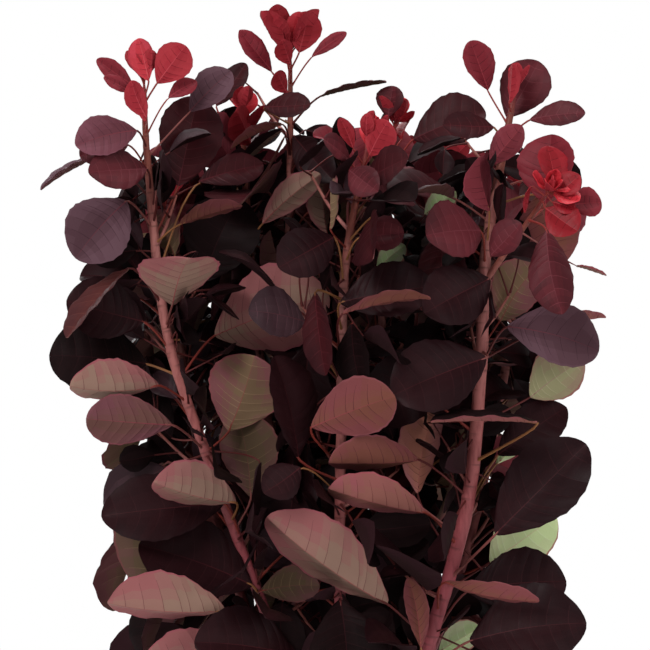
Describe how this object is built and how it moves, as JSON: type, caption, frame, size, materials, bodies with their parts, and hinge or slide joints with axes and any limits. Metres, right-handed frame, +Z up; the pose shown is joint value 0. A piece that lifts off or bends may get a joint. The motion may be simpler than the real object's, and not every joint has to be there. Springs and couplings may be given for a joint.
{
  "type": "purple smoke bush",
  "caption": "Young purple-leaved smoke bush with leafy upright shoots, bright red young tips and dusky pink leaf undersides.",
  "frame": {"origin": "middle of the flat cut under the root collar, at ground level", "axes": "+Z up along the shoots; -Y is the front that the picture shows; +X to the right of that front"},
  "size_m": [0.3031, 0.2578, 0.4959],
  "materials": {
    "collar_bark": "rough grey-brown bark",
    "stem_bark": "smooth salmon-pink bark with a waxy bloom",
    "foliage": "satin purple leaves"
  },
  "bodies": {
    "root": {"root_collar": "collar_bark", "bough_left_front": "stem_bark", "bough_middle_front": "stem_bark", "bough_right_front": "stem_bark", "bough_left": "stem_bark", "bough_back_left": "stem_bark", "bough_back": "stem_bark", "bough_back_right": "stem_bark", "bough_right": "stem_bark", "bough_inner_left": "stem_bark", "bough_inner_back": "stem_bark", "bough_inner_right": "stem_bark", "shoot_left_front": "foliage", "shoot_middle_front": "foliage", "shoot_right_front": "foliage", "shoot_left": "foliage", "shoot_back_left": "foliage", "shoot_back": "foliage", "shoot_back_right": "foliage", "shoot_right": "foliage", "shoot_inner_left": "foliage", "shoot_inner_back": "foliage", "shoot_inner_right": "foliage"}
  },
  "joints": []
}
